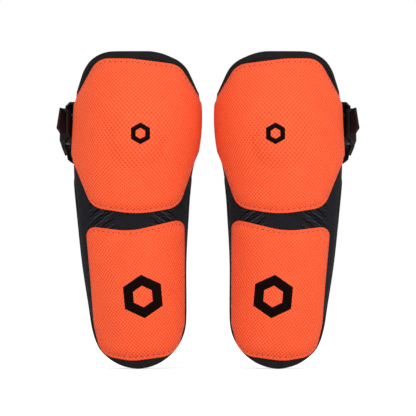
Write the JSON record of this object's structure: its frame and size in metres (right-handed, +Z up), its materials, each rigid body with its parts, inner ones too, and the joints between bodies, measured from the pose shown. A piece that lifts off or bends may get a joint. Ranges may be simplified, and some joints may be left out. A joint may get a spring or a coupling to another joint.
{
  "type": "knee pads",
  "caption": "Pair of moulded knee-and-shin pads: hard panels with a kneecap dome on a soft black body, an elastic knee strap with a quick-release hook and a calf strap.",
  "frame": {"origin": "midway between the axes of the wearer's two legs, level with the pads' lower tips", "axes": "+Z up the leg, +X towards the wearer's left leg, -Y the way the wearer faces, so the pads' fronts face -Y"},
  "size_m": [0.335, 0.169, 0.3516],
  "materials": {
    "panel": "matte, finely dimpled moulded skin",
    "shell": "satin moulded plate",
    "foam": "closed-cell foam",
    "lining": "brushed knit",
    "cover": "embossed coated fabric",
    "binding": "smooth stretch binding",
    "cushion": "perforated soft knit",
    "elastic": "woven elastic",
    "webbing": "woven webbing",
    "hook_tape": "hook tape",
    "buckle": "moulded nylon",
    "steel": "blackened steel"
  },
  "bodies": {
    "right_shin": {"right_shin_lining": "lining", "right_shin_foam": "foam", "right_shin_cover": "cover", "right_shin_binding": "binding", "right_shin_shell": "shell", "right_shin_panel": "panel", "right_shin_cushion": "cushion", "right_flex_band": "cover", "right_calf_strap": "elastic", "right_calf_root": "webbing", "right_ring_tab": "webbing", "right_calf_ring": "buckle"},
    "right_knee": {"right_knee_lining": "lining", "right_knee_foam": "foam", "right_knee_cover": "cover", "right_knee_binding": "binding", "right_knee_shell": "shell", "right_knee_panel": "panel", "right_knee_cushion": "cushion", "right_buckle_base": "buckle", "right_base_rivets": "steel", "right_buckle_pin": "steel", "right_knee_strap": "elastic", "right_strap_root": "webbing"},
    "right_hook": {"right_buckle_hook": "buckle", "right_strap_end": "elastic"},
    "right_slider": {"right_strap_slider": "buckle"},
    "right_flap": {"right_calf_flap": "elastic", "right_flap_hooks": "hook_tape"},
    "left_shin": {"left_shin_lining": "lining", "left_shin_foam": "foam", "left_shin_cover": "cover", "left_shin_binding": "binding", "left_shin_shell": "shell", "left_shin_panel": "panel", "left_shin_cushion": "cushion", "left_flex_band": "cover", "left_calf_strap": "elastic", "left_calf_root": "webbing", "left_ring_tab": "webbing", "left_calf_ring": "buckle"},
    "left_knee": {"left_knee_lining": "lining", "left_knee_foam": "foam", "left_knee_cover": "cover", "left_knee_binding": "binding", "left_knee_shell": "shell", "left_knee_panel": "panel", "left_knee_cushion": "cushion", "left_buckle_base": "buckle", "left_base_rivets": "steel", "left_buckle_pin": "steel", "left_knee_strap": "elastic", "left_strap_root": "webbing"},
    "left_hook": {"left_buckle_hook": "buckle", "left_strap_end": "elastic"},
    "left_slider": {"left_strap_slider": "buckle"},
    "left_flap": {"left_calf_flap": "elastic", "left_flap_hooks": "hook_tape"}
  },
  "joints": [
    {"name": "pads_apart", "type": "slide", "parent": "right_shin", "child": "left_shin", "axis": [1, 0, 0], "range_m": [0, 0.1]},
    {"name": "right_knee_flex", "type": "hinge", "parent": "right_shin", "child": "right_knee", "pos_m": [-0.078, -0.056, 0.164], "axis": [-1, 0, 0], "range_deg": [-5, 30], "stiffness_Nm_per_rad": 3, "deforming": ["right_flex_band"]},
    {"name": "right_hook_swing", "type": "hinge", "parent": "right_knee", "child": "right_hook", "pos_m": [-0.155, 0.00353, 0.26812], "axis": [0, 0.4695, 0.8829], "range_deg": [0, 40], "stiffness_Nm_per_rad": 0.3},
    {"name": "right_slider_slide", "type": "hinge", "parent": "right_knee", "child": "right_slider", "pos_m": [-0.08991, -0.01172, 0.27623], "axis": [0, 0.4695, 0.8829], "range_deg": [-12, 12]},
    {"name": "right_flap_peel", "type": "hinge", "parent": "right_shin", "child": "right_flap", "pos_m": [-0.1176, 0.0225, 0.095], "axis": [0, 0, 1], "range_deg": [0, 75]},
    {"name": "left_knee_flex", "type": "hinge", "parent": "left_shin", "child": "left_knee", "pos_m": [0.078, -0.056, 0.164], "axis": [-1, 0, 0], "range_deg": [-5, 30], "stiffness_Nm_per_rad": 3, "deforming": ["left_flex_band"]},
    {"name": "left_hook_swing", "type": "hinge", "parent": "left_knee", "child": "left_hook", "pos_m": [0.155, 0.00353, 0.26812], "axis": [0, -0.4695, -0.8829], "range_deg": [0, 40], "stiffness_Nm_per_rad": 0.3},
    {"name": "left_slider_slide", "type": "hinge", "parent": "left_knee", "child": "left_slider", "pos_m": [0.08991, -0.01172, 0.27623], "axis": [0, -0.4695, -0.8829], "range_deg": [-12, 12]},
    {"name": "left_flap_peel", "type": "hinge", "parent": "left_shin", "child": "left_flap", "pos_m": [0.1176, 0.0225, 0.095], "axis": [0, 0, -1], "range_deg": [0, 75]}
  ]
}
